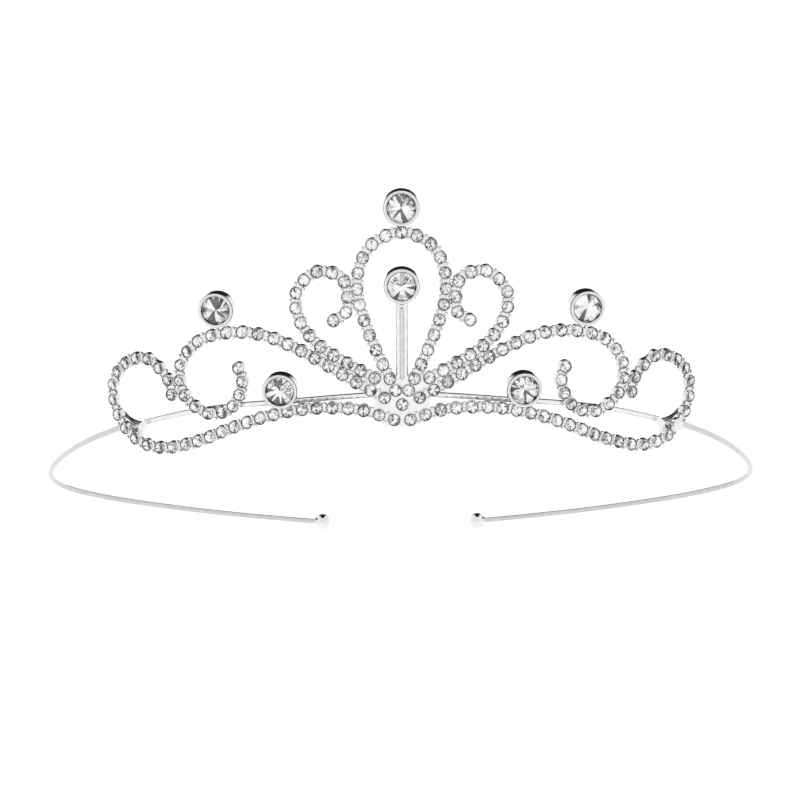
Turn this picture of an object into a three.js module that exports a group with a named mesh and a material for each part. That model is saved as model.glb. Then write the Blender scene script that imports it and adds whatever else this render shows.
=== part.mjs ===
// Bridal tiara: a cast scroll ornament set with round stones, on a springy wire band with ball ends.
// Millimetres, +Z up, +X to the wearer's left, -Y to the front. The origin is the centre of the wearer's head
// in the plane of the wire band. The ornament stands upright on a vertical cylinder in front of the forehead,
// and the band falls from it towards the back of the head.

import * as THREE from 'three';

// Driving dimensions
const FACE_RADIUS = 88;
const FACE_FRONT = -58;
const FACE_HEIGHT = 28.2;

const BAND_FALL = THREE.MathUtils.degToRad(26);
const WIRE_RADIUS = 0.54;
const BALL_RADIUS = 1.85;

const CASTING_DEPTH = 1.2;
const CUP_HALF_WIDTH = 1.02;
const NECK_HALF_WIDTH = 0.7;
const END_HALF_WIDTH = 0.5;
const STONE_HALF_WIDTH = 0.85;
const STONE_HEIGHT = 0.6;
const SOLDER_GAP = 0.15;

const BEZEL_RADIUS = 3.1;
const BEZEL_FRONT = 2;
const BEZEL_BACK = -0.6;
const BEZEL_TAPER = 0.1;
const GEM_RADIUS = 2.45;
// The cups of the large stones look more to the front than the face does. They keep this share of its turn.
const BEZEL_TURN = 0.35;

const CROSSBAR_HALF_WIDTH = 0.37;
const CROSSBAR_DEPTH = 0.6;
const CROSSBAR_TAIL_HALF_WIDTH = 2;

// Colours and finishes
const silver = () => new THREE.MeshStandardMaterial({ color: 0xd4d6da, roughness: 0.18, metalness: 1 });
const wireSteel = () => new THREE.MeshStandardMaterial({ color: 0xc9ccd1, roughness: 0.12, metalness: 1 });
const crystal = () => new THREE.MeshStandardMaterial({ color: 0xe8edf5, roughness: 0.04, metalness: 0.1 });

// Centre lines of one half, as (distance round the face, height) from the middle of the ornament's foot.
const TEARDROP_SIDE = [[2.1, 3.7], [4.4, 8.6], [6.4, 13.8], [7.5, 18.5], [7.1, 23.2], [4.9, 26.9]];
const TEARDROP_TOP = [0, 28.9];
const INNER_SCROLL = [
  [4.7, 3.8], [9.5, 6.3], [14.6, 9.6], [17.6, 13.6], [18.2, 18.2], [14.7, 22], [10.2, 21.1], [9.2, 17.3],
  [9.7, 14.9], [11.7, 13.7],
];
const OUTER_SCROLL = [
  [3, 0.4], [7.9, 3], [14.9, 7], [19.7, 9.3], [25.1, 10.9], [31, 10.8], [36.8, 8.8], [40.4, 4.1], [39.6, -1],
  [35, -3.8], [30.3, -2.3], [28.2, 2.3], [28.9, 4.7],
];
const BASE_SCROLL = [
  [1.4, -3.5], [7, -1.9], [14.9, -1.7], [22.6, -3.2], [30, -5.9], [37.4, -9.1], [45, -11.1], [50.7, -10.1],
  [54.7, -6.3], [55.7, -0.9], [52.7, 3.4], [47.4, 4.9], [43, 1.5], [42.3, -1.1],
];
const CROSSBAR = [[0, 0.75], [10, 0.15], [20, -1], [30, -2.3], [40, -4.4], [49.6, -7.2], [51.6, -8.3]];

// Centre line of the left half of the band in its own plane, as (left, back) from the middle of the head.
const BAND_LINE = [
  [51.4, -43.1], [59.1, -31.5], [65.4, -18.8], [70.2, -5.2], [72.1, 6.5], [70.2, 18], [62.6, 30.3],
  [52.1, 40.7], [41.2, 49.5], [30, 56.7], [18.25, 63.2],
];

const TEARDROP_STONES = 23;
const INNER_STONES = 16;
const OUTER_STONES = 25;
const BASE_STONES = 31;
const JUNCTION_STONES = [[-1.1, 1.7], [1.1, 1.7], [0, -0.8]];
// Stones set by eye stand a little unevenly: (stone, share of the row's length), with even steps between.
const OUTER_SPACING = [[0, 0], [5, 0.208], [8, 0.327], [15, 0.64], [20, 0.85], [24, 1]];
const BASE_SPACING = [[0, 0], [5, 0.167], [15, 0.489], [24, 0.8], [30, 1]];

// Middle of each large stone's cup, on the face.
const TOP_GEM = [0, 33.2];
const CENTRE_GEM = [0, 20];
const UPPER_GEM = [32.5, 15];
const LOWER_GEM = [21.1, 1.4];

const tiara = new THREE.Group();

function add(name, geometry, material) {
  const mesh = new THREE.Mesh(geometry, material);
  mesh.name = name;
  tiara.add(mesh);
  return mesh;
}

// A point on the ornament's curved face: round the face, up it, and out of it.
function onFace(round, up, out) {
  const angle = round / FACE_RADIUS;
  const radius = FACE_RADIUS + out;
  return new THREE.Vector3(
    radius * Math.sin(angle),
    FACE_FRONT + FACE_RADIUS - radius * Math.cos(angle),
    FACE_HEIGHT + up,
  );
}

function flatCurve(points) {
  return new THREE.CatmullRomCurve3(points.map(([round, up]) => new THREE.Vector3(round, up, 0)));
}

const mirrored = (points) => points.map(([round, up]) => [-round, up]);

// A closed solid swept through stations, each a rectangle across the curve at a share `at` of its length.
function ribbon(curve, stations) {
  const positions = [];
  for (const { at, half, front, back, crown = half } of stations) {
    const share = THREE.MathUtils.clamp(at, 0, 1);
    const middle = curve.getPointAt(share);
    const along = curve.getTangentAt(share);
    middle.addScaledVector(along, (at - share) * curve.getLength());
    const corners = [[-crown, front], [crown, front], [half, back], [-half, back]];
    for (const [across, out] of corners) {
      positions.push(...onFace(middle.x - along.y * across, middle.y + along.x * across, out));
    }
  }
  const index = [0, 1, 2, 0, 2, 3];
  for (let ring = 0; ring < (stations.length - 1) * 4; ring += 4) {
    for (let side = 0; side < 4; side += 1) {
      const a = ring + side;
      const b = ring + (side + 1) % 4;
      index.push(a, a + 4, b, b, a + 4, b + 4);
    }
  }
  const last = (stations.length - 1) * 4;
  index.push(last, last + 2, last + 1, last, last + 3, last + 2);
  const geometry = new THREE.BufferGeometry();
  geometry.setAttribute('position', new THREE.Float32BufferAttribute(positions, 3));
  geometry.setIndex(index);
  geometry.computeVertexNormals();
  return geometry;
}

// How far along its row each stone stands, as a share of the length.
function stoneShares(count, spacing = [[0, 0], [count - 1, 1]]) {
  const shares = [];
  spacing.slice(1).forEach(([last, high], span) => {
    const [first, low] = spacing[span];
    for (let stone = first; stone < last; stone += 1) {
      shares.push(THREE.MathUtils.mapLinear(stone, first, last, low, high));
    }
  });
  return [...shares, 1];
}

// A row of cups: wide at each stone and waisted between stones, where the prongs are.
function cupRow(curve, shares) {
  const front = 0;
  const back = -CASTING_DEPTH;
  const endReach = 0.4 / (shares.length - 1);
  const stations = [{ at: -endReach, half: END_HALF_WIDTH, front, back }];
  shares.forEach((at, stone) => {
    stations.push({ at, half: CUP_HALF_WIDTH, front, back });
    if (stone < shares.length - 1) {
      stations.push({ at: (at + shares[stone + 1]) / 2, half: NECK_HALF_WIDTH, front, back });
    }
  });
  stations.push({ at: 1 + endReach, half: END_HALF_WIDTH, front, back });
  return ribbon(curve, stations);
}

// The stones of one row on their bed of cement: a crown at each stone and a thin neck of cement between.
function stoneRow(curve, shares) {
  const bed = 0.08;
  const neck = { half: 0.45, front: bed + 0.12, back: bed };
  const crown = { half: STONE_HALF_WIDTH, crown: STONE_HALF_WIDTH * 0.6, front: STONE_HEIGHT, back: bed };
  const flank = 0.32 / (shares.length - 1);
  const stations = shares.flatMap((at) => [
    { at: at - flank, ...neck }, { at, ...crown }, { at: at + flank, ...neck },
  ]);
  return ribbon(curve, stations);
}

// Lathe a profile of (radius, out) pairs about a direction out of the face, and place it on the face.
function turned(name, profile, [round, up], material, segments) {
  const points = profile.map(([radius, out]) => new THREE.Vector2(radius, out));
  const geometry = new THREE.LatheGeometry(points, segments);
  geometry.rotateX(Math.PI);
  const mesh = add(name, geometry, material);
  mesh.position.copy(onFace(round, up, 0));
  mesh.rotation.z = BEZEL_TURN * round / FACE_RADIUS;
  return mesh;
}

function gemInBezel(name, place) {
  const cupDepth = 1.1;
  const seat = BEZEL_FRONT - cupDepth;
  const wallInside = GEM_RADIUS + 0.1;
  const girdle = BEZEL_FRONT - 0.2;
  const girdleHeight = 0.2;
  const table = BEZEL_FRONT + 0.5;
  const tableShare = 0.6;
  turned(`${name}_bezel`, [
    [0, BEZEL_BACK], [BEZEL_RADIUS - BEZEL_TAPER, BEZEL_BACK], [BEZEL_RADIUS, BEZEL_FRONT],
    [wallInside, BEZEL_FRONT], [wallInside, seat], [0, seat],
  ], place, silver(), 20);
  turned(`${name}_gem`, [
    [0, seat + 0.1], [GEM_RADIUS, girdle - girdleHeight], [GEM_RADIUS, girdle],
    [GEM_RADIUS * tableShare, table], [0, table],
  ], place, crystal(), 16);
}

// Prism of a flat outline in (round, up), between two heights out of the face, close to its middle.
function prism(outline, front, back) {
  const shape = new THREE.Shape(outline.map(([round, up]) => new THREE.Vector2(round, up)));
  const geometry = new THREE.ExtrudeGeometry(shape, { depth: front - back, bevelEnabled: false });
  geometry.rotateX(Math.PI / 2);
  geometry.translate(0, FACE_FRONT - back, FACE_HEIGHT);
  return geometry;
}

// The plate at the crossing of the scrolls, round the three stones that it holds.
function junctionPlate() {
  const margin = 0.9;
  const [left, right, bottom] = JUNCTION_STONES;
  const corner = ([round, up], fromAngle, toAngle) => {
    const steps = 5;
    return Array.from({ length: steps + 1 }, (_, step) => {
      const angle = THREE.MathUtils.degToRad(fromAngle + (toAngle - fromAngle) * step / steps);
      return [round + margin * Math.cos(angle), up + margin * Math.sin(angle)];
    });
  };
  const outline = [...corner(bottom, 204, 336), ...corner(right, -24, 90), ...corner(left, 90, 204)];
  add('junction_plate', prism(outline, 0, -CASTING_DEPTH), silver());
}

// The post that carries the centre stone: two rails with a groove between them.
function centrePost() {
  const rail = 0.93;
  const groove = 0.33;
  const grooveDepth = 0.45;
  const shape = new THREE.Shape();
  shape.moveTo(-rail, 0);
  shape.lineTo(-groove, 0);
  shape.lineTo(-groove, grooveDepth);
  shape.lineTo(groove, grooveDepth);
  shape.lineTo(groove, 0);
  shape.lineTo(rail, 0);
  shape.lineTo(rail, CASTING_DEPTH);
  shape.lineTo(-rail, CASTING_DEPTH);
  const foot = 2.85;
  const head = CENTRE_GEM[1] - BEZEL_RADIUS - 0.1;
  const geometry = new THREE.ExtrudeGeometry(shape, { depth: head - foot, bevelEnabled: false });
  geometry.translate(0, FACE_FRONT, FACE_HEIGHT + foot);
  add('centre_post', geometry, silver());
}

// The thin bar behind the scrolls, flared at both ends like a fish's tail where it meets the outer loops.
function crossbar() {
  const front = -CASTING_DEPTH - SOLDER_GAP;
  const back = front - CROSSBAR_DEPTH;
  const curve = flatCurve([...mirrored(CROSSBAR).reverse(), ...CROSSBAR.slice(1)]);
  const tailShare = 0.02;
  const steps = 24;
  const stations = [];
  for (let step = 0; step <= steps; step += 1) {
    const at = tailShare + (1 - 2 * tailShare) * step / steps;
    stations.push({ at, half: CROSSBAR_HALF_WIDTH, front, back });
  }
  const tail = { half: CROSSBAR_TAIL_HALF_WIDTH, front, back };
  add('crossbar', ribbon(curve, [{ at: 0, ...tail }, ...stations, { at: 1, ...tail }]), silver());
}

// The wire band lies in a plane that falls towards the back of the head.
function bandCurve(side) {
  return new THREE.CatmullRomCurve3(BAND_LINE.map(([left, back]) => new THREE.Vector3(
    side * left,
    back * Math.cos(BAND_FALL),
    -back * Math.sin(BAND_FALL),
  )));
}

function roundSection(radius, sides) {
  const corners = Array.from({ length: sides }, (_, side) => {
    const angle = side / sides * 2 * Math.PI;
    return new THREE.Vector2(radius * Math.cos(angle), radius * Math.sin(angle));
  });
  return new THREE.Shape(corners);
}

function bandArm(name, side) {
  const curve = bandCurve(side);
  const ballClearance = 0.08;
  const wireShare = 1 - (BALL_RADIUS + ballClearance) / curve.getLength();
  const steps = 44;
  const stops = Array.from({ length: steps + 1 }, (_, step) => curve.getPointAt(wireShare * step / steps));
  const wire = new THREE.ExtrudeGeometry(roundSection(WIRE_RADIUS, 8), {
    steps, extrudePath: new THREE.CatmullRomCurve3(stops), bevelEnabled: false,
  });
  add(`${name}_band_wire`, wire, wireSteel());
  const ball = add(`${name}_end_ball`, new THREE.SphereGeometry(BALL_RADIUS, 14, 9), wireSteel());
  ball.position.copy(curve.getPointAt(1));
}

// The lug of solder behind the outer loop that holds the end of the band wire.
function solderLug(name, side) {
  const front = -CASTING_DEPTH - SOLDER_GAP;
  const curve = flatCurve([[side * 52.2, -8.8], [side * 53.3, -9], [side * 54.3, -9.2]]);
  const section = { half: 0.75, crown: 0.75, front, back: front - 1.2 };
  add(`${name}_solder_lug`, ribbon(curve, [0, 0.5, 1].map((at) => ({ at, ...section }))), silver());
}

const teardrop = flatCurve([...mirrored(TEARDROP_SIDE), TEARDROP_TOP, ...TEARDROP_SIDE.toReversed()]);
const teardropShares = stoneShares(TEARDROP_STONES);
add('teardrop_casting', cupRow(teardrop, teardropShares), silver());
add('teardrop_stones', stoneRow(teardrop, teardropShares), crystal());

for (const [name, side] of [['left', 1], ['right', -1]]) {
  const scrolls = [
    ['inner', INNER_SCROLL, stoneShares(INNER_STONES)],
    ['outer', OUTER_SCROLL, stoneShares(OUTER_STONES, OUTER_SPACING)],
    ['base', BASE_SCROLL, stoneShares(BASE_STONES, BASE_SPACING)],
  ];
  for (const [scroll, points, shares] of scrolls) {
    const curve = flatCurve(side > 0 ? points : mirrored(points));
    add(`${name}_${scroll}_casting`, cupRow(curve, shares), silver());
    add(`${name}_${scroll}_stones`, stoneRow(curve, shares), crystal());
  }
  const handed = ([round, up]) => [side * round, up];
  gemInBezel(`${name}_upper`, handed(UPPER_GEM));
  gemInBezel(`${name}_lower`, handed(LOWER_GEM));
  solderLug(name, side);
  bandArm(name, side);
}

gemInBezel('top', TOP_GEM);
gemInBezel('centre', CENTRE_GEM);
junctionPlate();
centrePost();
crossbar();

export default tiara;
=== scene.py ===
import math
import random

import bmesh
import bpy
from mathutils import Matrix, Vector


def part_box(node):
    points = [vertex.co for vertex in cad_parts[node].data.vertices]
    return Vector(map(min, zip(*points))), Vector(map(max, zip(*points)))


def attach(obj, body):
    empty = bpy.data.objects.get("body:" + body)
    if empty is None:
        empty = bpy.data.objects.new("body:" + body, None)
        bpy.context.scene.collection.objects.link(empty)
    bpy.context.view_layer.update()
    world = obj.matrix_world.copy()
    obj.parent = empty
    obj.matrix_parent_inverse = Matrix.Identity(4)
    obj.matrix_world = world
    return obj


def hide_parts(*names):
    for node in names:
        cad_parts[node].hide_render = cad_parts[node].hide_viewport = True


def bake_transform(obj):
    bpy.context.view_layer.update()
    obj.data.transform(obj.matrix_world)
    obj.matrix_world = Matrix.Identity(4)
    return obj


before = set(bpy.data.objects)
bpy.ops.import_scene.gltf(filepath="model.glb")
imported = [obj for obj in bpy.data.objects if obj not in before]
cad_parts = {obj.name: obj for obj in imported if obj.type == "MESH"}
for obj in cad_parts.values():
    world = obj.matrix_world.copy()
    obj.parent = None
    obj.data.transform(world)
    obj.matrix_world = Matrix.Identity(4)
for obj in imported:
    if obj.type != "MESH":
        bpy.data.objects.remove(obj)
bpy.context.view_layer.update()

# Sizes are in millimetres, in the CAD model's frame, and become metres in new_piece().
MM = 0.001

# The curved face that the ornament lies on.
FACE_RADIUS = 88.0
FACE_FRONT = -58.0
FACE_HEIGHT = 28.2

# The wire band, in a plane that falls towards the back, as (left, back) from the middle of the head.
BAND_FALL = math.radians(26)
BAND_LINE = [
    (51.4, -43.1), (59.1, -31.5), (65.4, -18.8), (70.2, -5.2), (72.1, 6.5), (70.2, 18), (62.6, 30.3),
    (52.1, 40.7), (41.2, 49.5), (30, 56.7), (18.25, 63.2),
]
WIRE_RADIUS = 0.54
BALL_RADIUS = 1.85

CASTING_DEPTH = 1.2
CUP_RADIUS = 1.16
NECK_HALF_WIDTH = 0.78
STONE_RADIUS = 0.95

# Centre lines of the right half, as (distance round the face, height) from the middle of the ornament's foot.
TEARDROP_SIDE = [(2.1, 3.7), (4.4, 8.6), (6.4, 13.8), (7.5, 18.5), (7.1, 23.2), (4.9, 26.9)]
TEARDROP_TOP = (0, 28.9)
INNER_SCROLL = [
    (4.7, 3.8), (9.5, 6.3), (14.6, 9.6), (17.6, 13.6), (18.2, 18.2), (14.7, 22), (10.2, 21.1), (9.2, 17.3),
    (9.7, 14.9), (11.7, 13.7),
]
OUTER_SCROLL = [
    (3, 0.4), (7.9, 3), (14.9, 7), (19.7, 9.3), (25.1, 10.9), (31, 10.8), (36.8, 8.8), (40.4, 4.1),
    (39.6, -1), (35, -3.8), (30.3, -2.3), (28.2, 2.3), (28.9, 4.7),
]
BASE_SCROLL = [
    (1.4, -3.5), (7, -1.9), (14.9, -1.7), (22.6, -3.2), (30, -5.9), (37.4, -9.1), (45, -11.1), (50.7, -10.1),
    (54.7, -6.3), (55.7, -0.9), (52.7, 3.4), (47.4, 4.9), (43, 1.5), (42.3, -1.1),
]
CROSSBAR = [(0, 0.75), (10, 0.15), (20, -1), (30, -2.3), (40, -4.4), (49.6, -7.2)]
TEARDROP_STONES = 23
INNER_STONES = 16
OUTER_STONES = 25
BASE_STONES = 31
# The stones are not set evenly: (stone, share of the row's length), with even steps between these.
EVEN = [(0, 0), (1, 1)]
OUTER_SPACING = [(0, 0), (5, 0.208), (8, 0.327), (15, 0.64), (20, 0.85), (24, 1)]
BASE_SPACING = [(0, 0), (5, 0.167), (15, 0.489), (24, 0.8), (30, 1)]
JUNCTION_STONES = [(-1.1, 1.7), (1.1, 1.7), (0, -0.8)]

TOP_GEM = (0, 33.2)
CENTRE_GEM = (0, 20)
UPPER_GEM = (32.5, 15)
LOWER_GEM = (21.1, 1.4)
BEZEL_RADIUS = 3.1
BEZEL_FRONT = 2.0
BEZEL_BACK = -0.6
BEZEL_TURN = 0.35
GEM_RADIUS = 2.42

SIDES = (("left", 1), ("right", -1))


# ---------------------------------------------------------------- curves

class Curve:
    """A centripetal Catmull-Rom spline through points in a plane, measured by length."""

    STEPS = 60

    def __init__(self, points):
        pts = [Vector(p) for p in points]
        pts = [2 * pts[0] - pts[1], *pts, 2 * pts[-1] - pts[-2]]
        self.line = [pts[1]]
        for p0, p1, p2, p3 in zip(pts, pts[1:], pts[2:], pts[3:]):
            self.line += [self.between(p0, p1, p2, p3, k / self.STEPS) for k in range(1, self.STEPS + 1)]
        self.lengths = [0.0]
        for a, b in zip(self.line, self.line[1:]):
            self.lengths.append(self.lengths[-1] + (b - a).length)
        self.length = self.lengths[-1]

    @staticmethod
    def between(p0, p1, p2, p3, t):
        d0, d1, d2 = ((b - a).length ** 0.5 for a, b in ((p0, p1), (p1, p2), (p2, p3)))
        m1 = ((p1 - p0) / d0 - (p2 - p0) / (d0 + d1) + (p2 - p1) / d1) * d1
        m2 = ((p2 - p1) / d1 - (p3 - p1) / (d1 + d2) + (p3 - p2) / d2) * d1
        return p1 + m1 * t + (3 * (p2 - p1) - 2 * m1 - m2) * t * t + (2 * (p1 - p2) + m1 + m2) * t ** 3

    def at(self, distance):
        """Point and direction at a distance along, straight on past either end."""
        s = min(max(distance, 0.0), self.length)
        low, high = 0, len(self.lengths) - 2
        while low < high:
            middle = (low + high + 1) // 2
            if self.lengths[middle] <= s:
                low = middle
            else:
                high = middle - 1
        a, b = self.line[low], self.line[low + 1]
        along = (b - a).normalized()
        return a + along * (s - self.lengths[low] + distance - s), along


def mirrored(points):
    return [(-u, v) for u, v in points]


def handed(side, points):
    return points if side > 0 else mirrored(points)


def on_face(u, v, out=0.0):
    """A point round the face, up it and out of it."""
    angle = u / FACE_RADIUS
    radius = FACE_RADIUS + out
    return Vector((
        radius * math.sin(angle), FACE_FRONT + FACE_RADIUS - radius * math.cos(angle), FACE_HEIGHT + v,
    ))


class Seat:
    """Axes at a place on the face: across, up and out.

    turn is the share of the face's turn that they keep.
    """

    def __init__(self, place, turn=1.0, lean=(0.0, 0.0)):
        angle = turn * place[0] / FACE_RADIUS
        tip = Matrix.Rotation(lean[0], 3, "X") @ Matrix.Rotation(lean[1], 3, "Z")
        self.origin = on_face(*place)
        self.across = tip @ Vector((math.cos(angle), math.sin(angle), 0))
        self.up = tip @ Vector((0, 0, 1))
        self.out = tip @ Vector((math.sin(angle), -math.cos(angle), 0))

    def polar(self, radius, angle, height):
        way = self.across * math.cos(angle) + self.up * math.sin(angle)
        return self.origin + way * radius + self.out * height


# ---------------------------------------------------------------- mesh building

class Solid:
    """Vertices, faces and a material number for each face, gathered before they become one object."""

    def __init__(self):
        self.verts, self.faces, self.slots = [], [], []

    def add(self, verts, faces, slots=None):
        base = len(self.verts)
        self.verts += [tuple(v) for v in verts]
        self.faces += [tuple(base + i for i in f) for f in faces]
        self.slots += slots or [0] * len(faces)

    def rings(self, rings, joined=False, bands=None, cap=0):
        """Skin between rings of equal size, joined end to end or capped.

        bands numbers each strip's material.
        """
        n, count = len(rings[0]), len(rings)
        faces, slots = [], []
        for r in range(count if joined else count - 1):
            nxt = (r + 1) % count
            for k in range(n):
                k2 = (k + 1) % n
                faces.append((r * n + k, r * n + k2, nxt * n + k2, nxt * n + k))
                slots.append(bands[k] if bands else 0)
        if not joined:
            faces += [tuple(reversed(range(n))), tuple((count - 1) * n + k for k in range(n))]
            slots += [cap, cap]
        self.add([v for ring in rings for v in ring], faces, slots)

    def turned_ring(self, seat, profile, segments, bands=None):
        """Turn a closed outline of (radius, out) about the seat: a ring with a hole."""
        turns = [2 * math.pi * k / segments for k in range(segments)]
        self.rings([[seat.polar(r, a, h) for r, h in profile] for a in turns], True, bands)

    def turned_solid(self, seat, profile, segments, slot=0, wall=None):
        """Turn an open outline of (radius, out) whose ends lie on the axis.

        wall is the material below its widest ring.
        """
        first, *middle, last = profile
        verts = [seat.polar(0, 0, first[1])]
        for r, h in middle:
            verts += [seat.polar(r, 2 * math.pi * k / segments, h) for k in range(segments)]
        verts.append(seat.polar(0, 0, last[1]))
        faces, slots = [], []
        widest = max(range(len(middle)), key=lambda b: middle[b][0])
        top = 1 + (len(middle) - 1) * segments
        for k in range(segments):
            k2 = (k + 1) % segments
            faces.append((0, 1 + k2, 1 + k))
            slots.append(slot)
            for b in range(len(middle) - 1):
                lo, hi = 1 + b * segments, 1 + (b + 1) * segments
                faces.append((lo + k, lo + k2, hi + k2, hi + k))
                slots.append(slot if wall is None or b > widest else wall)
            faces.append((len(verts) - 1, top + k, top + k2))
            slots.append(slot)
        self.add(verts, faces, slots)

    def swept(self, curve, sections, bands=None):
        """Skin through sections, each (distance along the curve, outline of (across, out))."""
        rings = []
        for s, outline in sections:
            middle, along = curve.at(s)
            across = Vector((-along.y, along.x))
            rings.append([on_face(*(middle + across * a), h) for a, h in outline])
        self.rings(rings, bands=bands)

    def tube(self, points, radii, sides, slot=0):
        """A round rod through points, with its rings square to the path."""
        rings = []
        side = Vector((0.1, 0.5, 0.86))
        for k, (p, radius) in enumerate(zip(points, radii)):
            along = (points[min(k + 1, len(points) - 1)] - points[max(k - 1, 0)]).normalized()
            a = (side - along * side.dot(along)).normalized()
            b = along.cross(a)
            turns = [2 * math.pi * j / sides for j in range(sides)]
            rings.append([p + (a * math.cos(t) + b * math.sin(t)) * radius for t in turns])
        self.rings(rings, bands=[slot] * sides, cap=slot)


def make_object(name, solid, scale, materials=()):
    """A mesh object with all its faces turned outwards."""
    mesh = bpy.data.meshes.new(name)
    mesh.from_pydata([tuple(c * scale for c in v) for v in solid.verts], [], solid.faces)
    for material in materials:
        mesh.materials.append(material)
    mesh.polygons.foreach_set("material_index", solid.slots)
    shell = bmesh.new()
    shell.from_mesh(mesh)
    bmesh.ops.recalc_face_normals(shell, faces=shell.faces)
    shell.to_mesh(mesh)
    shell.free()
    piece = bpy.data.objects.new(name, mesh)
    bpy.context.scene.collection.objects.link(piece)
    return piece


def drilled(solid, cutter):
    """One solid with another cut out of it."""
    body, tool = make_object("body", solid, 1), make_object("tool", cutter, 1)
    cut = body.modifiers.new("cut", "BOOLEAN")
    cut.object, cut.operation, cut.solver = tool, "DIFFERENCE", "EXACT"
    left = body.evaluated_get(bpy.context.evaluated_depsgraph_get()).to_mesh()
    result = Solid()
    result.add([v.co for v in left.vertices], [tuple(face.vertices) for face in left.polygons])
    for piece in (body, tool):
        mesh = piece.data
        bpy.data.objects.remove(piece)
        bpy.data.meshes.remove(mesh)
    return result


def new_piece(name, solid, body, materials, replaces=(), smooth_angle=35.0):
    piece = make_object(name, solid, MM, materials)
    mesh = piece.data
    if smooth_angle:
        mesh.shade_smooth()
        mesh.set_sharp_from_angle(angle=math.radians(smooth_angle))
    if body:
        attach(piece, body)
    if replaces:
        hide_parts(*replaces)
    return piece


# ---------------------------------------------------------------- materials

def node_material(name):
    material = bpy.data.materials.new(name)
    material.use_nodes = True
    nodes, links = material.node_tree.nodes, material.node_tree.links
    return material, nodes, links, nodes["Principled BSDF"]


def noise(nodes, links, scale, detail=4.0):
    place = nodes.new("ShaderNodeTexCoord")
    texture = nodes.new("ShaderNodeTexNoise")
    texture.inputs["Scale"].default_value = scale
    texture.inputs["Detail"].default_value = detail
    links.new(place.outputs["Object"], texture.inputs["Vector"])
    return texture.outputs["Fac"]


def ramp(nodes, links, source, low, high, start=0.3, end=0.7):
    """Map a 0 to 1 value to a grey or colour between low and high."""
    node = nodes.new("ShaderNodeValToRGB")
    stops = node.color_ramp.elements
    stops[0].position, stops[1].position = start, end
    stops[0].color, stops[1].color = low, high
    links.new(source, node.inputs["Fac"])
    return node.outputs["Color"]


def spread(nodes, links, source, low, high, start=0.3, end=0.7):
    node = nodes.new("ShaderNodeMapRange")
    node.interpolation_type = "SMOOTHSTEP"
    node.inputs["From Min"].default_value = start
    node.inputs["From Max"].default_value = end
    node.inputs["To Min"].default_value = low
    node.inputs["To Max"].default_value = high
    links.new(source, node.inputs["Value"])
    return node.outputs["Result"]


def combine(nodes, links, operation, first, second=0.0):
    node = nodes.new("ShaderNodeMath")
    node.operation = operation
    for socket, value in zip(node.inputs, (first, second)):
        if isinstance(value, float):
            socket.default_value = value
        else:
            links.new(value, socket)
    return node.outputs["Value"]


def grey(level, blue=0.0):
    return (level, level, level + blue, 1)


def add_bump(nodes, links, shader, source, strength, distance):
    bump = nodes.new("ShaderNodeBump")
    bump.inputs["Strength"].default_value = strength
    bump.inputs["Distance"].default_value = distance
    links.new(source, bump.inputs["Height"])
    links.new(bump.outputs["Normal"], shader.inputs["Normal"])


def plated_metal(name, bright, dull, rough, rougher, marks=0.12):
    """Polished plating: patches of slightly different colour and gloss, with fine polishing marks."""
    material, nodes, links, shader = node_material(name)
    shader.inputs["Metallic"].default_value = 1.0
    patches = noise(nodes, links, 900.0)
    links.new(ramp(nodes, links, patches, grey(dull), grey(bright)), shader.inputs["Base Color"])
    grain = noise(nodes, links, 4000.0, 2.0)
    links.new(spread(nodes, links, grain, rough, rougher), shader.inputs["Roughness"])
    add_bump(nodes, links, shader, grain, marks, 0.00002)
    return material


def cut_glass(name):
    material, nodes, links, shader = node_material(name)
    shader.inputs["Base Color"].default_value = (1, 1, 1, 1)
    shader.inputs["Transmission Weight"].default_value = 1.0
    shader.inputs["IOR"].default_value = 1.56
    haze = noise(nodes, links, 1500.0)
    links.new(spread(nodes, links, haze, 0.0, 0.03), shader.inputs["Roughness"])
    return material


CAST_SILVER = plated_metal("cast_silver_plate", 0.84, 0.74, 0.1, 0.2)
# A dark silver that is painted light: painted dark reflections along upper edges, painted dark outlines round
# beads and bezels, and painted shade on the backs of bezels.
PAINTED_DARK_SILVER = plated_metal("silver_painted_dark", 0.3, 0.2, 0.35, 0.5, 0.4)
# A dark silver for painted deep shade: round the stones in their cups, wells and bezel seats, in the fork's
# gaps, and in the mark under the centre stone.
DEEP_SHADE_SILVER = plated_metal("silver_painted_deep_shade", 0.28, 0.18, 0.3, 0.5, 0.4)
# A grey copy of the silver for painted half shade: on the sides and backs of the castings, in the post's
# groove, on the bar's lower edges and back, and on the solder lugs.
HALF_SHADE_SILVER = plated_metal("silver_painted_half_shade", 0.68, 0.6, 0.15, 0.25)
BEZEL_SILVER = plated_metal("turned_silver_plate", 0.84, 0.78, 0.05, 0.12)
BAND_STEEL = plated_metal("band_wire_plate", 0.62, 0.54, 0.08, 0.18)
BALL_STEEL = plated_metal("ball_plate", 0.85, 0.78, 0.04, 0.1)
GLASS = cut_glass("crystal_glass")
# The dull and dark foils are painted grey and dark reflections, given to some facets below the girdle.
FOIL = plated_metal("crystal_foil", 0.97, 0.9, 0.02, 0.06, 0.02)
GREY_REFLECTION_FOIL = plated_metal("crystal_foil_painted_grey_reflection", 0.6, 0.45, 0.05, 0.1, 0.02)
DARK_REFLECTION_FOIL = plated_metal("crystal_foil_painted_dark_reflection", 0.18, 0.07, 0.05, 0.1, 0.02)
METALS = [CAST_SILVER, PAINTED_DARK_SILVER, DEEP_SHADE_SILVER, HALF_SHADE_SILVER]
# Slot numbers: plain silver, painted dark, painted deep shade, painted half shade.
FRONT, PAINTED_DARK, PAINTED_DEEP_SHADE, PAINTED_HALF_SHADE = 0, 1, 2, 3
CRYSTAL = [GLASS, FOIL, GREY_REFLECTION_FOIL, DARK_REFLECTION_FOIL]


# ---------------------------------------------------------------- camera, light and floor

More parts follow.
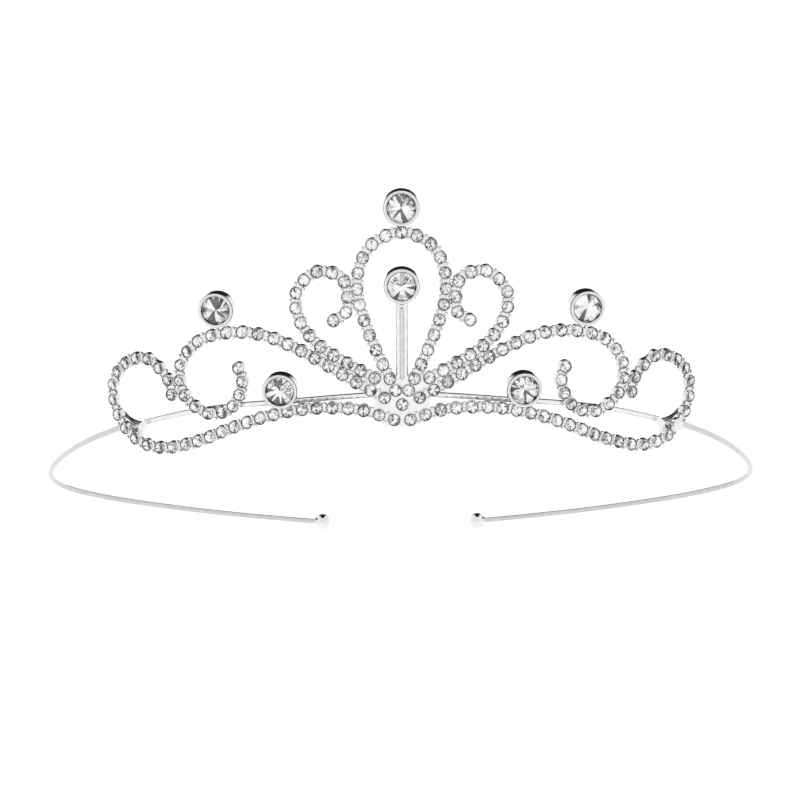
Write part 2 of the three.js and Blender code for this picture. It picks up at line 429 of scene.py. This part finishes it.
CAMERA_DISTANCE = 330.0
CAMERA_ELEVATION = math.radians(13)
CAMERA_ROLL = math.radians(-0.31)
CAMERA_ASIDE = -1.9
CAMERA_TURN = 0.0046
LENS = 86.6
FLOOR_DROP = 40.0
FLOOR_HALF = 12.0


def make_camera():
    sight = Vector((0, math.cos(CAMERA_ELEVATION), -math.sin(CAMERA_ELEVATION)))
    forward = sight + Vector((CAMERA_TURN, 0, 0))
    data = bpy.data.cameras.new("camera")
    data.lens = LENS
    data.clip_start, data.clip_end = 0.01, 50.0
    camera = bpy.data.objects.new("camera", data)
    bpy.context.scene.collection.objects.link(camera)
    place = Vector((CAMERA_ASIDE, FACE_FRONT, FACE_HEIGHT)) - sight * CAMERA_DISTANCE
    turn = forward.to_track_quat("-Z", "Y").to_matrix().to_4x4() @ Matrix.Rotation(CAMERA_ROLL, 4, "Z")
    camera.matrix_world = Matrix.Translation(place * MM) @ turn
    bpy.context.scene.camera = camera


def make_world():
    """A white studio. Reflections also see a dark wall at the back, which draws the upper edges."""
    world = bpy.data.worlds.new("studio")
    world.use_nodes = True
    bpy.context.scene.world = world
    nodes, links = world.node_tree.nodes, world.node_tree.links
    place = nodes.new("ShaderNodeTexCoord")
    parts = nodes.new("ShaderNodeSeparateXYZ")
    links.new(place.outputs["Generated"], parts.inputs["Vector"])
    x, y, z = (parts.outputs[axis] for axis in "XYZ")
    aside = combine(nodes, links, "ABSOLUTE", x)
    wall = combine(nodes, links, "MULTIPLY", spread(nodes, links, aside, 1.0, 0.0, 0.28, 0.45),
                   spread(nodes, links, y, 0.0, 1.0, -0.4, -0.1))
    wall = combine(nodes, links, "MULTIPLY", wall, spread(nodes, links, z, 0.0, 1.0, 0.0, 0.05))
    path = nodes.new("ShaderNodeLightPath")
    unseen = combine(nodes, links, "SUBTRACT", 1.0, path.outputs["Is Camera Ray"])
    dark = combine(nodes, links, "MULTIPLY", wall, unseen)
    shade = ramp(nodes, links, dark, (1, 1, 1, 1), grey(0.015, 0.002), 0.0, 1.0)
    links.new(shade, nodes["Background"].inputs["Color"])


def make_floor():
    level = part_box("left_end_ball")[0].z - FLOOR_DROP * MM
    mesh = bpy.data.meshes.new("floor")
    corners = [(-1, -1), (1, -1), (1, 1), (-1, 1)]
    mesh.from_pydata([(x * FLOOR_HALF, y * FLOOR_HALF, level) for x, y in corners], [], [(0, 1, 2, 3)])
    floor = bpy.data.objects.new("floor", mesh)
    bpy.context.scene.collection.objects.link(floor)
    material, _, _, shader = node_material("floor_paper")
    shader.inputs["Base Color"].default_value = (0.3, 0.3, 0.3, 1)
    shader.inputs["Roughness"].default_value = 1.0
    shader.inputs["Specular IOR Level"].default_value = 0.0
    shader.inputs["Emission Color"].default_value = (1, 1, 1, 1)
    shader.inputs["Emission Strength"].default_value = 0.9
    mesh.materials.append(material)


# ---------------------------------------------------------------- stones

# A brilliant's proportions: table, star, valley and girdle are shares of its radius.
TABLE_SHARE = 0.58
STAR_SHARE = 0.79
VALLEY_SHARE = 0.3
CROWN_SLOPE = math.radians(30)
PAVILION_SLOPE = math.radians(18)
MAIN_FACETS = 8
GIRDLE_SHARE = 0.04
STAR_RISE = 1.12
# A facet whose draw from 0 to 1 is below this gets the grey foil, a painted grey reflection, unless it is dark
# already.
GREY_REFLECTION_DRAW = 0.26
# Shares of facets whose foil is a painted dark reflection, on small and on large stones.
SMALL_DARK_REFLECTION_SHARE = 0.09
LARGE_DARK_REFLECTION_SHARE = 0.14


def foil_number(chance, angle, share):
    """Foil for one facet below the girdle: a share of them painted dark and some grey, as painted reflections
    of shade, the dark ones most often low down on the stone, where light from above leaves it dark.
    """
    low = 0.5 - 0.5 * math.sin(angle)
    draw = chance.random()
    if draw < share * (0.4 + 2.6 * low ** 4):
        return 3
    return 2 if draw < GREY_REFLECTION_DRAW else 1


def brilliant(solid, seat, radius, girdle, spin, chance, share):
    """A round brilliant with a glass crown and foiled facets below."""
    step = math.pi / MAIN_FACETS
    count = 2 * MAIN_FACETS
    edge = girdle + GIRDLE_SHARE * radius
    culet = girdle - radius * math.tan(PAVILION_SLOPE)
    crown = radius * (1 - TABLE_SHARE) * math.tan(CROWN_SLOPE)
    star_height = crown * (1 - STAR_SHARE) / (1 - TABLE_SHARE) * STAR_RISE
    valley_height = culet + (girdle - culet) * VALLEY_SHARE * math.cos(step)
    verts = [seat.polar(0, 0, culet)]

    def ring(share, height, first, stride):
        start = len(verts)
        verts.extend(seat.polar(radius * share, spin + k * step, height) for k in range(first, count, stride))
        return [start + k for k in range(count // stride)]

    low = ring(VALLEY_SHARE, valley_height, 1, 2)
    under = ring(1, girdle, 0, 1)
    over = ring(1, edge, 0, 1)
    star = ring(STAR_SHARE, edge + star_height, 1, 2)
    table = ring(TABLE_SHARE, edge + crown, 0, 2)
    faces, slots = [tuple(table)], [0]
    for k in range(MAIN_FACETS):
        g0, g1, g2 = 2 * k, 2 * k + 1, (2 * k + 2) % count
        k2 = (k + 1) % MAIN_FACETS
        faces.append((0, low[k], under[g0], low[k - 1]))
        faces += [(low[k], under[g1], under[g0]), (low[k], under[g2], under[g1])]
        slots += [foil_number(chance, spin + (g0 + turn) * step, share) for turn in (0, 0.5, 1.5)]
        faces += [(under[g0], under[g1], over[g1], over[g0]), (under[g1], under[g2], over[g2], over[g1])]
        faces += [(over[g0], over[g1], star[k]), (over[g1], over[g2], star[k])]
        faces += [(over[g0], star[k], table[k], star[k - 1]), (star[k], table[k2], table[k])]
        slots += [0] * 6
    solid.add(verts, faces, slots)


# ---------------------------------------------------------------- castings and small stones

# Outline of one cup, and the material of each strip: bright outside and on the rim, painted shade on the inner
# wall and seat round the stone.
CUP_OUTLINE = [
    (1.1, -0.85), (1.21, -0.6), (1.2, -0.2), (1.18, 0.1), (1.16, 0.2), (1.11, 0.27), (1.06, 0.24),
    (1.03, 0.16), (0.94, -0.02), (0.6, -0.9),
]
CUP_STRIPS = [FRONT, FRONT, FRONT, FRONT, FRONT, FRONT, FRONT, PAINTED_DEEP_SHADE, PAINTED_DEEP_SHADE, FRONT]
BEAD_OUTLINE = [(0, -0.4), (0.27, -0.3), (0.31, 0.02), (0.27, 0.18), (0.16, 0.27), (0, 0.3)]
BEAD_ACROSS = 0.8
SOLDER_FILL_OUTLINE = [(0, -0.5), (1.15, -0.4), (1.2, 0.1), (1.0, 0.3), (0.5, 0.38), (0, 0.4)]
CUP_SEGMENTS = 28
FILL_SEGMENTS = 24
BEAD_SEGMENTS = 12
WELL_RADIUS = 1.0
WELL_DEPTH = 0.88
END_REACH = 0.93
EDGE_ROUND = 0.12
STONE_LEAN = 0.09
STONE_GIRDLE = 0.08
SECTIONS_PER_PITCH = 12


def web_sections(stops):
    """The casting under the cups: as wide as a cup at each stone, waisted between, with a well for each."""
    pitch = stops[1] - stops[0]
    start, end = stops[0] - END_REACH * CUP_RADIUS, stops[-1] + END_REACH * CUP_RADIUS
    steps = round((end - start) / pitch * SECTIONS_PER_PITCH)
    sections = []
    for k in range(steps + 1):
        s = start + (end - start) * k / steps
        offset = min(abs(s - stop) for stop in stops)
        reach = math.sqrt(max(CUP_RADIUS ** 2 - offset ** 2, 0))
        w = max(reach, NECK_HALF_WIDTH) if stops[0] < s < stops[-1] else max(reach, 0.3)
        well = math.sqrt(max(WELL_RADIUS ** 2 - offset ** 2, 0))
        depth = WELL_DEPTH if well > 0.2 else 0.01
        well = max(well, 0.02)
        back = -CASTING_DEPTH
        sections.append((s, [
            (-w, -0.15), (-w * 1.03, -0.72), (-w * 0.55, back), (w * 0.55, back), (w * 1.03, -0.72), (w, -0.15),
            (w - EDGE_ROUND, 0.0), (well, 0.0), (well, -depth), (-well, -depth), (-well, 0.0),
            (-w + EDGE_ROUND, 0.0),
        ]))
    return sections


# Strips of the web: painted half shade on the lower side walls and the back, painted deep shade on the walls
# and floor of each well.
WEB_STRIPS = [FRONT, PAINTED_HALF_SHADE, PAINTED_HALF_SHADE, PAINTED_HALF_SHADE, FRONT, FRONT, FRONT, PAINTED_DEEP_SHADE, PAINTED_DEEP_SHADE, PAINTED_DEEP_SHADE, FRONT, FRONT]


def small_stone(glass, place, chance):
    """One small stone, set a little crooked by eye."""
    lean = (chance.uniform(-STONE_LEAN, STONE_LEAN), chance.uniform(-STONE_LEAN, STONE_LEAN))
    spin = chance.uniform(0, math.pi)
    brilliant(glass, Seat(place, 1.0, lean), STONE_RADIUS, STONE_GIRDLE, spin, chance, SMALL_DARK_REFLECTION_SHARE)


def stone_stops(curve, count, spacing):
    """How far along its row each stone stands."""
    stops = []
    for (first, low), (last, high) in zip(spacing, spacing[1:]):
        span = (last - first) * (count - 1) / spacing[-1][0]
        stops += [low + (high - low) * k / span for k in range(round(span))]
    return [curve.length * share for share in [*stops, 1]]


def scroll(name, curve, count, spacing=EVEN, blank=()):
    """One casting with its cups and beads, and its row of stones. A blank cup is filled with solder."""
    metal, glass = Solid(), Solid()
    stops = stone_stops(curve, count, spacing)
    metal.swept(curve, web_sections(stops), WEB_STRIPS)
    chance = random.Random(name)
    for k, s in enumerate(stops):
        place, _ = curve.at(s)
        if k in blank:
            metal.turned_solid(Seat(place), SOLDER_FILL_OUTLINE, FILL_SEGMENTS)
        else:
            metal.turned_ring(Seat(place), CUP_OUTLINE, CUP_SEGMENTS, CUP_STRIPS)
            small_stone(glass, place, chance)
        if k < count - 1:
            middle, along = curve.at((s + stops[k + 1]) / 2)
            across = Vector((-along.y, along.x)) * BEAD_ACROSS
            for edge in (-1, 1):
                # Each bead's lower wall is painted dark, an outline where a reflection of shade would fall.
                metal.turned_solid(Seat(middle + across * edge), BEAD_OUTLINE, BEAD_SEGMENTS, FRONT, PAINTED_DARK)
    new_piece(f"{name}_cups", metal, "ornament", METALS, [f"{name}_casting"], 40)
    new_piece(f"{name}_crystals", glass, "ornament", CRYSTAL, [f"{name}_stones"], 0)


# The cup at the left arm's wire end, counted along the base scroll from the middle.
FILLED_CUP = 20


def make_scrolls():
    teardrop = [*mirrored(TEARDROP_SIDE), TEARDROP_TOP, *reversed(TEARDROP_SIDE)]
    scroll("teardrop", Curve(teardrop), TEARDROP_STONES)
    for name, side in SIDES:
        scroll(f"{name}_inner", Curve(handed(side, INNER_SCROLL)), INNER_STONES)
        scroll(f"{name}_outer", Curve(handed(side, OUTER_SCROLL)), OUTER_STONES, OUTER_SPACING)
        blank = (FILLED_CUP,) if side > 0 else ()
        scroll(f"{name}_base", Curve(handed(side, BASE_SCROLL)), BASE_STONES, BASE_SPACING, blank)


# ---------------------------------------------------------------- crossing, post and crossbar

WELL_OUTLINE = [(0, -WELL_DEPTH), (WELL_RADIUS, -WELL_DEPTH), (WELL_RADIUS, 0.5), (0, 0.5)]
WEB_OUTLINE = [
    (0, 3.1), (1.9, 4.4), (3.4, 4.5), (5.6, 4.6), (6.2, 3.4), (5.3, 1.6), (4.2, -0.2), (4.9, -1.6), (4.8, -3),
    (3, -3.9), (1.4, -4.4), (0, -4.3),
]


# How far the plate's edge draws in at each height, from the back to the front.
WEB_EDGE = [(0.15, -CASTING_DEPTH), (0.0, -CASTING_DEPTH + 0.2), (0.0, -0.1), (0.12, 0.02), (0.35, 0.05)]
WEB_POINTS = 96
WELL_SEGMENTS = 32


def make_crossing():
    """A smooth plate that fills between the scrolls where they meet, with three stones of its own."""
    outline = [*WEB_OUTLINE, *reversed(mirrored(WEB_OUTLINE[1:-1]))]
    closed = Curve([*outline, outline[0]])
    edge = [closed.at(closed.length * k / WEB_POINTS)[0] for k in range(WEB_POINTS)]
    metal, glass = Solid(), Solid()
    rings = []
    for inset, out in WEB_EDGE:
        ring = []
        for k, p in enumerate(edge):
            along = (edge[(k + 1) % WEB_POINTS] - edge[k - 1]).normalized()
            ring.append(on_face(*(p + Vector((along.y, -along.x)) * -inset), out))
        rings.append(ring)
    metal.rings(rings)
    wells = Solid()
    row_starts = [TEARDROP_SIDE[0], INNER_SCROLL[0]]
    for points, count, spacing in (
        (OUTER_SCROLL, OUTER_STONES, OUTER_SPACING), (BASE_SCROLL, BASE_STONES, BASE_SPACING),
    ):
        row = Curve(points)
        row_starts += [tuple(row.at(stop)[0]) for stop in stone_stops(row, count, spacing)[:2]]
    for place in [*JUNCTION_STONES, *row_starts, *mirrored(row_starts)]:
        wells.turned_solid(Seat(place), WELL_OUTLINE, WELL_SEGMENTS)
    metal = drilled(metal, wells)
    chance = random.Random("crossing")
    for place in JUNCTION_STONES:
        metal.turned_ring(Seat(place), CUP_OUTLINE, CUP_SEGMENTS, CUP_STRIPS)
        small_stone(glass, place, chance)
    new_piece("junction_web", metal, "ornament", METALS, ["junction_plate"], 40)
    new_piece("junction_crystals", glass, "ornament", CRYSTAL)


POST_FOOT = 2.85
POST_STEPS = 12
POST_GROOVE = 0.33
POST_EDGE = 0.95
# Half of the post's section, as (across, out), from the bottom of the groove round to the back.
POST_HALF = [
    (0.0, -0.2), (0.26, -0.2), (0.32, -0.1), (0.4, -0.02), (0.52, 0.0), (0.82, 0.0), (0.96, -0.1),
    (1.04, -0.3), (1.02, -1.0), (0.85, -CASTING_DEPTH), (0.0, -CASTING_DEPTH),
]
ARCH_DROP = 1.5
ARCH_HALF_WIDTH = 0.62
ARCH_RISE = 0.7
ARCH_OUT = -0.25
ARCH_RADIUS = 0.3
# A small bead under the centre stone, all in painted deep shade, stands for a dark mark there.
SHADE_MARK_DROP = 0.9
SHADE_MARK_OUTLINE = [(0, -0.3), (0.3, -0.25), (0.34, -0.04), (0, 0.02)]


def post_strip(a, b):
    """The material between two points of the post's section: painted half shade in the groove and on the sides.
    """
    in_groove = max(abs(a[0]), abs(b[0])) < POST_GROOVE and a[1] > -0.6
    on_side = min(abs(a[0]), abs(b[0])) > POST_EDGE
    return PAINTED_HALF_SHADE if in_groove or on_side else FRONT


def make_post():
    """Two round rails with a groove between, closed by a little arch under the stone."""
    metal = Solid()
    head = CENTRE_GEM[1] - BEZEL_RADIUS + 0.2
    outline = [*POST_HALF, *reversed(mirrored(POST_HALF[1:-1]))]
    strips = [post_strip(a, b) for a, b in zip(outline, outline[1:] + outline[:1])]
    curve = Curve([(0, POST_FOOT), (0, head)])
    sections = [(curve.length * k / POST_STEPS, outline) for k in range(POST_STEPS + 1)]
    metal.swept(curve, sections, strips)
    turns = [math.pi * k / POST_STEPS for k in range(POST_STEPS + 1)]
    arch = [on_face(ARCH_HALF_WIDTH * math.cos(a), head - ARCH_DROP + ARCH_RISE * math.sin(a), ARCH_OUT)
            for a in turns]
    metal.tube(arch, [ARCH_RADIUS] * len(arch), 10)
    # A small bead in painted deep shade stands for the dark mark under the stone.
    metal.turned_solid(Seat((0, head - SHADE_MARK_DROP)), SHADE_MARK_OUTLINE, 16, PAINTED_DEEP_SHADE)
    new_piece("post_rails", metal, "ornament", METALS, ["centre_post"])


BAR_FRONT = -CASTING_DEPTH - 0.15
BAR_BACK = BAR_FRONT - 0.6
BAR_HALF_WIDTH = 0.44
BAR_STEPS = 160
# The bar's section, as (up, out), from its lower front edge round the back, and each strip's material: painted
# dark reflection on the top wall and upper front edge, plain silver on the front, painted half shade on the
# rest.
BAR_OUTLINE = [
    (-BAR_HALF_WIDTH + 0.05, BAR_FRONT - 0.05), (-BAR_HALF_WIDTH, BAR_FRONT - 0.15),
    (-BAR_HALF_WIDTH, BAR_BACK + 0.1), (-BAR_HALF_WIDTH + 0.1, BAR_BACK),
    (BAR_HALF_WIDTH - 0.1, BAR_BACK), (BAR_HALF_WIDTH, BAR_BACK + 0.1),
    (BAR_HALF_WIDTH, BAR_FRONT - 0.15), (BAR_HALF_WIDTH - 0.1, BAR_FRONT),
    (-BAR_HALF_WIDTH + 0.15, BAR_FRONT),
]
BAR_STRIPS = [PAINTED_HALF_SHADE, PAINTED_HALF_SHADE, PAINTED_HALF_SHADE, PAINTED_HALF_SHADE, PAINTED_HALF_SHADE, PAINTED_DARK, PAINTED_DARK, FRONT, PAINTED_HALF_SHADE]
# The right end of the bar: it flares down to the lug, and a strut parts two plates of painted deep shade that
# stand for the open gaps there.
FORK_UPPER_SHADE_PLATE = [
    (49.9, -7.4), (50.6, -7.25), (51.5, -7.2), (52.4, -7.05), (53.5, -6.65), (54.6, -5.85), (54.8, -6.4),
    (53.5, -7.0), (52.6, -7.5), (51.5, -7.8), (50.95, -8.15),
]
FORK_LOWER_SHADE_PLATE = [
    (53.3, -7.65), (52.5, -8.05), (51.6, -8.65), (51.0, -9.4), (51.2, -9.5), (52.0, -8.8), (52.9, -8.2),
]
FORK_FLARE = [
    (48.6, -6.75), (49.7, -7.05), (50.3, -7.55), (50.95, -8.3), (51.1, -9.4), (50.8, -10.6), (50.2, -10.4),
    (50.0, -9.0), (49.4, -8.0), (48.4, -7.35),
]
# Each plate of the fork, with its material, back and front.
FORK_PLATES = [
    (FORK_UPPER_SHADE_PLATE, PAINTED_DEEP_SHADE, BAR_BACK + 0.1, BAR_FRONT + 0.1),
    (FORK_LOWER_SHADE_PLATE, PAINTED_DEEP_SHADE, BAR_BACK + 0.1, BAR_FRONT + 0.3),
    (FORK_FLARE, FRONT, BAR_BACK + 0.05, BAR_FRONT + 0.6),
]
FORK_STRUT = [(54.0, -7.35), (52.9, -7.75), (51.9, -8.15), (50.8, -8.7)]
STRUT_RADIUS = 0.24
STRUT_OUT = BAR_FRONT + 0.2
STRUT_STEPS = 16


def make_crossbar():
    """The thin bar behind the scrolls, forked at each end."""
    metal = Solid()
    curve = Curve([*reversed(mirrored(CROSSBAR[1:])), *CROSSBAR])
    sections = [(curve.length * k / BAR_STEPS, BAR_OUTLINE) for k in range(BAR_STEPS + 1)]
    metal.swept(curve, sections, BAR_STRIPS)
    for _, side in SIDES:
        for outline, slot, low, high in FORK_PLATES:
            plate = [[on_face(*p, h) for p in handed(side, outline)] for h in (low, high)]
            metal.rings(plate, bands=[slot] * len(outline), cap=slot)
        rod = Curve(handed(side, FORK_STRUT))
        path = [on_face(*rod.at(rod.length * k / STRUT_STEPS)[0], STRUT_OUT) for k in range(STRUT_STEPS + 1)]
        metal.tube(path, [STRUT_RADIUS] * len(path), 12)
    new_piece("crossbar_rod", metal, "ornament", METALS, ["crossbar"])


LUG_PATH = [(50.6, -7.9), (51.6, -8.4), (53.0, -8.9), (54.4, -9.3)]
LUG_OUT = -CASTING_DEPTH - 0.62
LUG_RINGS = 15
LUG_END_RADIUS = 0.25
LUG_SWELL = 0.62
LUG_ROUGHNESS = 0.05


def make_lugs():
    """A lump of solder behind each outer loop, round the end of the wire."""
    for name, side in SIDES:
        metal = Solid()
        chance = random.Random(name)
        path = Curve(handed(side, LUG_PATH))
        points = [on_face(*path.at(path.length * k / (LUG_RINGS - 1))[0], LUG_OUT) for k in range(LUG_RINGS)]
        radii = []
        for k in range(LUG_RINGS):
            swell = math.sin(math.pi * (k + 0.6) / (LUG_RINGS + 0.2)) ** 0.5
            radii.append(LUG_END_RADIUS + LUG_SWELL * swell + chance.uniform(-LUG_ROUGHNESS, LUG_ROUGHNESS))
        # The lug is all in painted half shade, darker for sitting behind the loop.
        metal.tube(points, radii, 16, PAINTED_HALF_SHADE)
        new_piece(f"{name}_solder", metal, "ornament", METALS, [f"{name}_solder_lug"], 60)


# ---------------------------------------------------------------- large stones

# A bezel's outline, as (radius, out), from the back round the wall and lip to the seat, and its strips: painted
# shade on the back face, painted dark reflection on the upper outer wall, painted deep shade in the fine
# groove, on the inner wall and on the seat.
BEZEL_OUTLINE = [
    (0.05, BEZEL_BACK), (BEZEL_RADIUS - 0.08, BEZEL_BACK), (BEZEL_RADIUS + 0.03, BEZEL_BACK + 0.15),
    (BEZEL_RADIUS - 0.05, BEZEL_FRONT - 0.35), (BEZEL_RADIUS - 0.08, BEZEL_FRONT - 0.15),
    (BEZEL_RADIUS - 0.16, BEZEL_FRONT - 0.02), (BEZEL_RADIUS - 0.4, BEZEL_FRONT + 0.01),
    (BEZEL_RADIUS - 0.42, BEZEL_FRONT - 0.03), (BEZEL_RADIUS - 0.45, BEZEL_FRONT + 0.01),
    (BEZEL_RADIUS - 0.57, BEZEL_FRONT), (BEZEL_RADIUS - 0.64, BEZEL_FRONT - 0.1),
    (BEZEL_RADIUS - 0.68, BEZEL_FRONT - 0.9), (0.05, BEZEL_FRONT - 2.45),
]
BEZEL_STRIPS = [PAINTED_DARK, FRONT, FRONT, PAINTED_DARK, PAINTED_DARK, FRONT, PAINTED_DEEP_SHADE, FRONT, FRONT, FRONT, PAINTED_DEEP_SHADE, PAINTED_DEEP_SHADE, PAINTED_DEEP_SHADE]
BEZEL_SEGMENTS = 64
GEM_GIRDLE = BEZEL_FRONT - 0.3
GEM_SPIN = 0.1


def make_gem(name, place):
    """A turned cup and the large stone in it."""
    metal, glass = Solid(), Solid()
    seat = Seat(place, BEZEL_TURN)
    metal.turned_ring(seat, BEZEL_OUTLINE, BEZEL_SEGMENTS, BEZEL_STRIPS)
    chance = random.Random(name + " foil")
    brilliant(glass, seat, GEM_RADIUS, GEM_GIRDLE, GEM_SPIN, chance, LARGE_DARK_REFLECTION_SHARE)
    finishes = [BEZEL_SILVER, PAINTED_DARK_SILVER, DEEP_SHADE_SILVER]
    new_piece(f"{name}_cup", metal, "ornament", finishes, [f"{name}_bezel"])
    new_piece(f"{name}_brilliant", glass, "ornament", CRYSTAL, [f"{name}_gem"], 0)


def make_gems():
    make_gem("top", TOP_GEM)
    make_gem("centre", CENTRE_GEM)
    for name, side in SIDES:
        make_gem(f"{name}_upper", (side * UPPER_GEM[0], UPPER_GEM[1]))
        make_gem(f"{name}_lower", (side * LOWER_GEM[0], LOWER_GEM[1]))


# ---------------------------------------------------------------- band

def in_band_plane(side, left, back):
    return Vector((side * left, back * math.cos(BAND_FALL), -back * math.sin(BAND_FALL)))


WIRE_STEPS = 200
WIRE_SIDES = 24
# The wire begins inside its lug and bends as far as this point of BAND_LINE.
WIRE_START = -1.2
BALL_ROWS = 40
BALL_SIDES = 48
# The collar between wire and ball: shares of the ball's radius back from its middle, and its own radii.
COLLAR_PLACES = (1.18, 1.14, 1.04, 0.9, 0.8)
COLLAR_RADII = (0.56, 0.66, 0.72, 0.86, 0.6)
COLLAR_SIDES = 28


def make_wire(name, side, curve):
    """One wire that springs from its lug and follows the band's line towards its ball."""
    wire = Solid()
    end = curve.length - BALL_RADIUS * 0.8
    stops = [WIRE_START + (end - WIRE_START) * k / WIRE_STEPS for k in range(WIRE_STEPS + 1)]
    path = [in_band_plane(side, *curve.at(stop)[0]) for stop in stops]
    wire.tube(path, [WIRE_RADIUS] * len(path), WIRE_SIDES)
    piece = new_piece(f"{name}_band", wire, None, [BAND_STEEL], [f"{name}_band_wire"])
    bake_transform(piece)


def make_ball(name, side, curve):
    """The ball that closes the wire's end, with its small collar."""
    ball = Solid()
    tip, along = curve.at(curve.length)
    middle, axis = in_band_plane(side, *tip), in_band_plane(side, *along).normalized()
    turns = [math.pi * k / BALL_ROWS for k in range(BALL_ROWS + 1)]
    path = [middle - axis * BALL_RADIUS * math.cos(a) for a in turns]
    ball.tube(path, [max(BALL_RADIUS * math.sin(a), 0.01) for a in turns], BALL_SIDES)
    ball.tube([middle - axis * BALL_RADIUS * d for d in COLLAR_PLACES], COLLAR_RADII, COLLAR_SIDES)
    new_piece(f"{name}_ball", ball, f"{name}_arm", [BALL_STEEL], [f"{name}_end_ball"], 50)


def make_band():
    curve = Curve(BAND_LINE)
    for name, side in SIDES:
        make_wire(name, side, curve)
        make_ball(name, side, curve)


make_camera()
make_world()
make_floor()
make_scrolls()
make_crossing()
make_post()
make_crossbar()
make_lugs()
make_gems()
make_band()
bpy.context.scene.view_settings.view_transform = "Standard"
